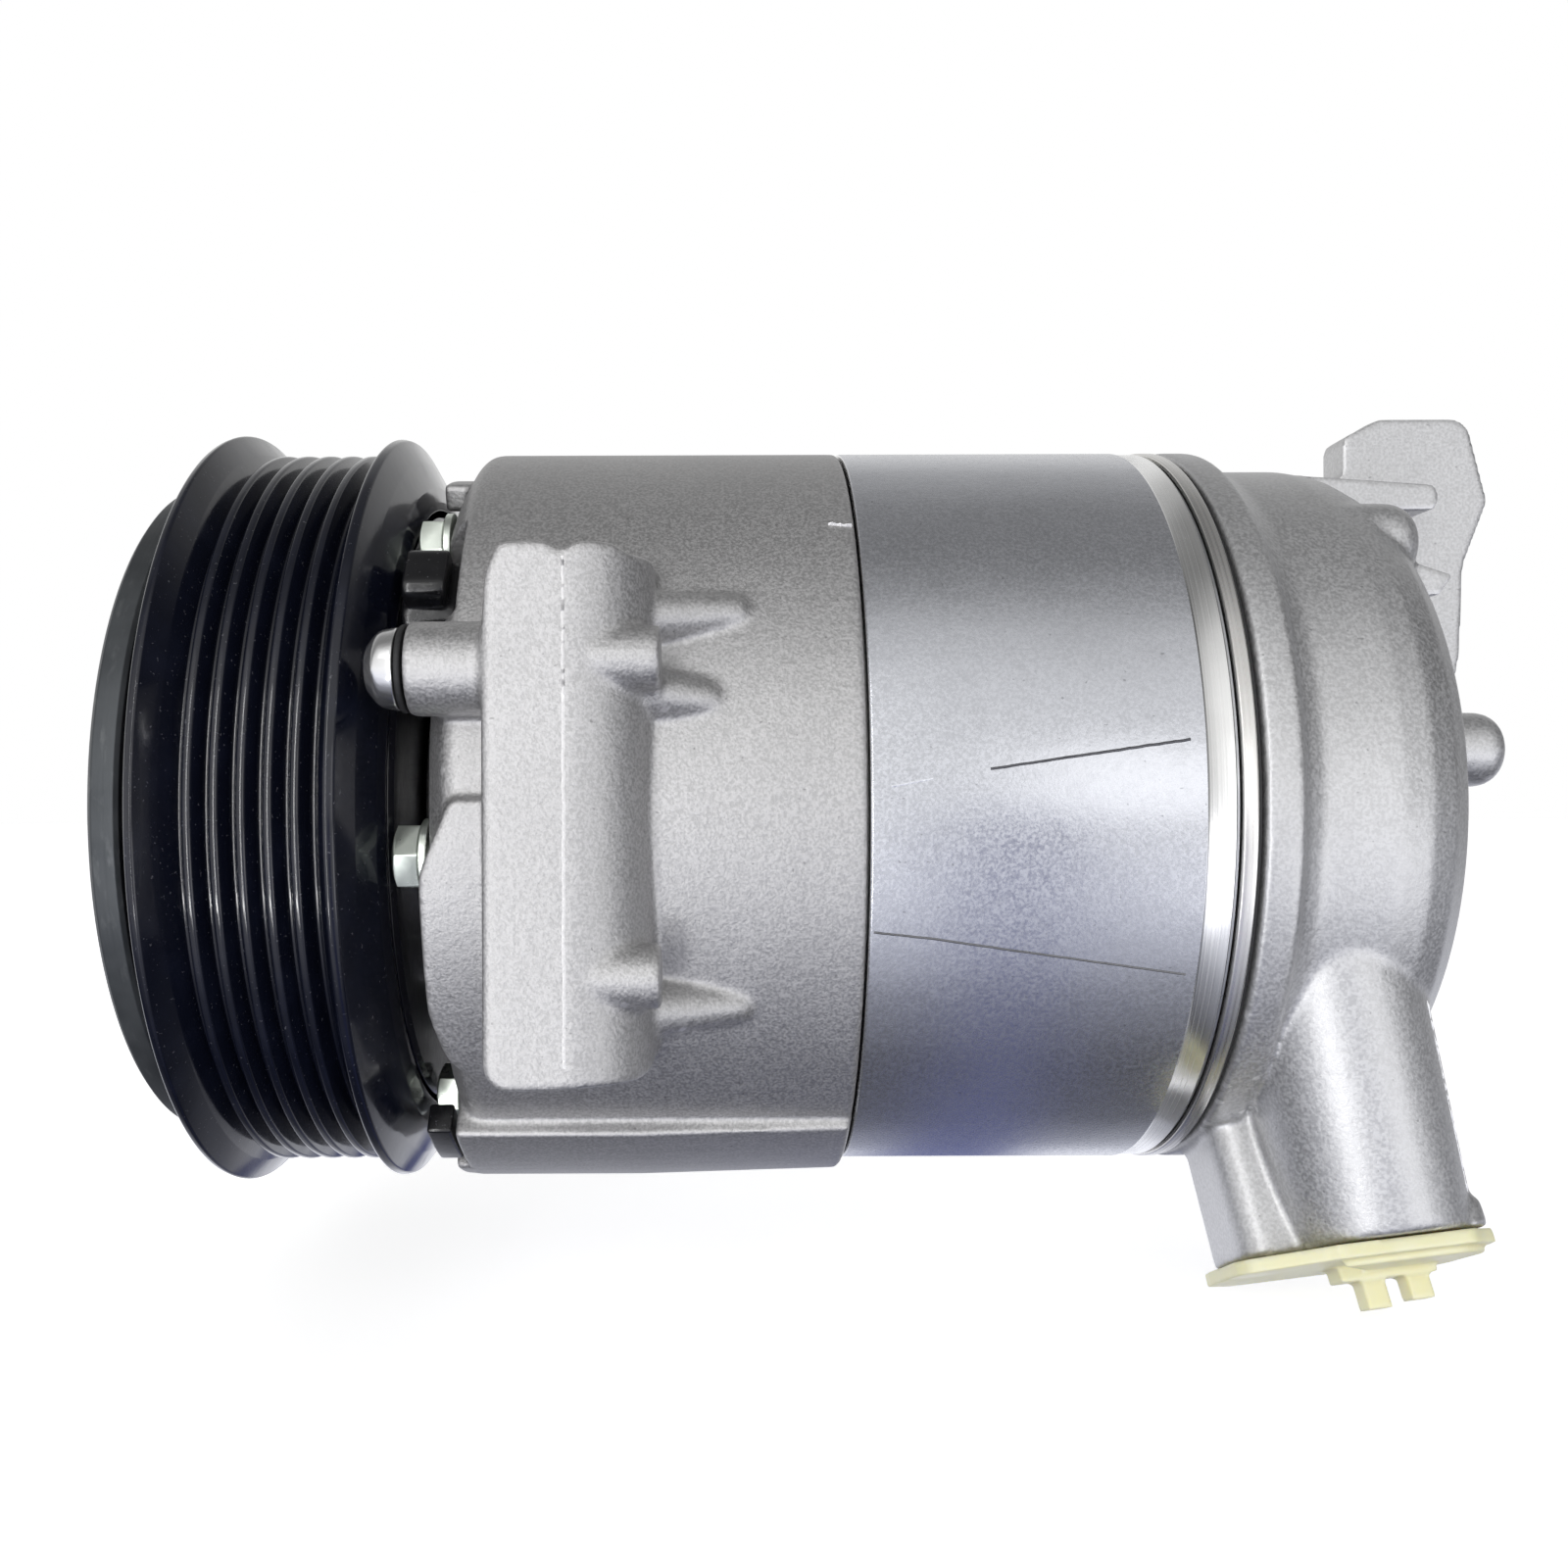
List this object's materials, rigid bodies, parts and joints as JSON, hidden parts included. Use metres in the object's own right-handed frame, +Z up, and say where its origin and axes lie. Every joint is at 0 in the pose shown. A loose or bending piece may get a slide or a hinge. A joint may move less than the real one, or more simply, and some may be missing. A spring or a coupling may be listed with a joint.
{
  "type": "automotive air conditioning compressor",
  "caption": "Belt-driven car air conditioning compressor: grooved pulley with electromagnetic clutch, cast case with mounting bars, tilting swash plate and pistons, rear head with hose ports.",
  "frame": {"origin": "centre of the flat front end of the drive shaft", "axes": "+X along the shaft from the clutch to the rear head, +Z up, -Y the near side with the hose ports and the domed plug"},
  "size_m": [0.2225, 0.1324, 0.1416],
  "materials": {
    "cast_aluminium": "satin as-cast, pebbled",
    "machined_steel": "fine turned edge",
    "friction_steel": "dark, scuffed and ground",
    "pulley_black": "gloss blue-black e-coat",
    "clutch_steel": "phosphated",
    "spring_steel": "blued",
    "bearing_steel": "ground",
    "bright_steel": "polished",
    "zinc": "pale zinc plate",
    "coil_black": "gloss black",
    "black_plastic": "moulded gloss",
    "copper": "enamelled wire",
    "rubber": "matt",
    "bronze": "turned",
    "brass": "turned",
    "piston_alloy": "turned",
    "cap_plastic": "pale yellow, slightly translucent"
  },
  "bodies": {
    "case": {"front_housing": "cast_aluminium", "cylinder_block": "cast_aluminium", "rear_head": "cast_aluminium", "valve_plate": "machined_steel", "suction_reed_plate": "spring_steel", "head_gasket": "rubber", "body_o_ring": "rubber", "bearing_inner_race": "bearing_steel", "snout_snap_ring": "spring_steel", "coil_snap_ring": "spring_steel", "coil_can": "coil_black", "coil_winding": "copper", "coil_connector": "black_plastic", "domed_plug": "bright_steel", "plug_seal_ring": "rubber", "shaft_seal": "rubber", "front_needle_bearing": "bearing_steel", "thrust_bearing": "bearing_steel", "rear_needle_bearing": "bearing_steel", "control_valve": "brass", "relief_valve": "brass", "through_bolt_1": "zinc", "through_bolt_2": "zinc", "through_bolt_3": "zinc", "through_bolt_4": "zinc", "through_bolt_5": "zinc", "through_bolt_6": "zinc"},
    "pulley": {"pulley": "pulley_black", "bearing_outer_race": "bearing_steel", "pulley_snap_ring": "spring_steel"},
    "ball_cage": {"bearing_ball_cage": "bearing_steel"},
    "shaft": {"drive_shaft": "bright_steel", "clutch_hub": "clutch_steel", "shaft_nut": "zinc", "spring_plate": "spring_steel", "lug_rotor": "clutch_steel", "pivot_sleeve": "bronze", "destroke_spring": "spring_steel"},
    "armature": {"armature_plate": "friction_steel"},
    "swash": {"swash_plate": "bronze", "guide_pin": "bright_steel"},
    "port_cap": {"port_cap": "cap_plastic"},
    "piston_1": {"piston_1": "piston_alloy"},
    "shoes_1": {"shoe_front_1": "bright_steel", "shoe_rear_1": "bright_steel"},
    "piston_2": {"piston_2": "piston_alloy"},
    "shoes_2": {"shoe_front_2": "bright_steel", "shoe_rear_2": "bright_steel"},
    "piston_3": {"piston_3": "piston_alloy"},
    "shoes_3": {"shoe_front_3": "bright_steel", "shoe_rear_3": "bright_steel"},
    "piston_4": {"piston_4": "piston_alloy"},
    "shoes_4": {"shoe_front_4": "bright_steel", "shoe_rear_4": "bright_steel"},
    "piston_5": {"piston_5": "piston_alloy"},
    "shoes_5": {"shoe_front_5": "bright_steel", "shoe_rear_5": "bright_steel"},
    "piston_6": {"piston_6": "piston_alloy"},
    "shoes_6": {"shoe_front_6": "bright_steel", "shoe_rear_6": "bright_steel"}
  },
  "joints": [
    {"name": "pulley_spin", "type": "hinge", "parent": "case", "child": "pulley", "pos_m": [0.0225, 0, 0], "axis": [1, 0, 0], "continuous": true},
    {"name": "ball_cage_spin", "type": "hinge", "parent": "case", "child": "ball_cage", "pos_m": [0.01885, 0, 0], "axis": [1, 0, 0], "continuous": true},
    {"name": "shaft_spin", "type": "hinge", "parent": "case", "child": "shaft", "pos_m": [0.063, 0, 0], "axis": [1, 0, 0], "continuous": true},
    {"name": "armature_engage", "type": "slide", "parent": "shaft", "child": "armature", "axis": [1, 0, 0], "range_m": [0, 0.0004], "stiffness_N_per_m": 20000, "deforming": ["spring_plate"]},
    {"name": "swash_tilt", "type": "hinge", "parent": "case", "child": "swash", "pos_m": [0.088, 0, 0], "axis": [0, 1, 0], "range_deg": [0, 16]},
    {"name": "port_cap_pull", "type": "slide", "parent": "case", "child": "port_cap", "axis": [0.1105, -0.4226, -0.8996], "range_m": [0, 0.02]},
    {"name": "piston_1_stroke", "type": "slide", "parent": "case", "child": "piston_1", "axis": [1, 0, 0], "range_m": [0, 0.00435]},
    {"name": "shoes_1_swivel", "type": "hinge", "parent": "piston_1", "child": "shoes_1", "pos_m": [0.088, -0.03263, 0.01521], "axis": [0, 1, 0], "range_deg": [0, 16]},
    {"name": "piston_2_stroke", "type": "slide", "parent": "case", "child": "piston_2", "axis": [1, 0, 0], "range_m": [0, 0.01022]},
    {"name": "shoes_2_swivel", "type": "hinge", "parent": "piston_2", "child": "shoes_2", "pos_m": [0.088, -0.00314, 0.03586], "axis": [0, 1, 0], "range_deg": [0, 16]},
    {"name": "piston_3_stroke", "type": "slide", "parent": "case", "child": "piston_3", "axis": [1, 0, 0], "range_m": [0, 0.00589]},
    {"name": "shoes_3_swivel", "type": "hinge", "parent": "piston_3", "child": "shoes_3", "pos_m": [0.088, 0.02949, 0.02065], "axis": [0, 1, 0], "range_deg": [0, 16]},
    {"name": "piston_4_stroke", "type": "slide", "parent": "case", "child": "piston_4", "axis": [1, 0, 0], "range_m": [-0.00435, 0]},
    {"name": "shoes_4_swivel", "type": "hinge", "parent": "piston_4", "child": "shoes_4", "pos_m": [0.088, 0.03263, -0.01521], "axis": [0, 1, 0], "range_deg": [0, 16]},
    {"name": "piston_5_stroke", "type": "slide", "parent": "case", "child": "piston_5", "axis": [1, 0, 0], "range_m": [-0.01022, 0]},
    {"name": "shoes_5_swivel", "type": "hinge", "parent": "piston_5", "child": "shoes_5", "pos_m": [0.088, 0.00314, -0.03586], "axis": [0, 1, 0], "range_deg": [0, 16]},
    {"name": "piston_6_stroke", "type": "slide", "parent": "case", "child": "piston_6", "axis": [1, 0, 0], "range_m": [-0.00589, 0]},
    {"name": "shoes_6_swivel", "type": "hinge", "parent": "piston_6", "child": "shoes_6", "pos_m": [0.088, -0.02949, -0.02065], "axis": [0, 1, 0], "range_deg": [0, 16]}
  ],
  "couplings": [
    {"joint": "ball_cage_spin", "follows": "pulley_spin", "ratio": 0.577},
    {"joint": "piston_1_stroke", "follows": "swash_tilt", "m_per_rad": 0.015496},
    {"joint": "shoes_1_swivel", "follows": "swash_tilt", "ratio": 1},
    {"joint": "piston_2_stroke", "follows": "swash_tilt", "m_per_rad": 0.036526},
    {"joint": "shoes_2_swivel", "follows": "swash_tilt", "ratio": 1},
    {"joint": "piston_3_stroke", "follows": "swash_tilt", "m_per_rad": 0.021031},
    {"joint": "shoes_3_swivel", "follows": "swash_tilt", "ratio": 1},
    {"joint": "piston_4_stroke", "follows": "swash_tilt", "m_per_rad": -0.015496},
    {"joint": "shoes_4_swivel", "follows": "swash_tilt", "ratio": 1},
    {"joint": "piston_5_stroke", "follows": "swash_tilt", "m_per_rad": -0.036526},
    {"joint": "shoes_5_swivel", "follows": "swash_tilt", "ratio": 1},
    {"joint": "piston_6_stroke", "follows": "swash_tilt", "m_per_rad": -0.021031},
    {"joint": "shoes_6_swivel", "follows": "swash_tilt", "ratio": 1}
  ]
}
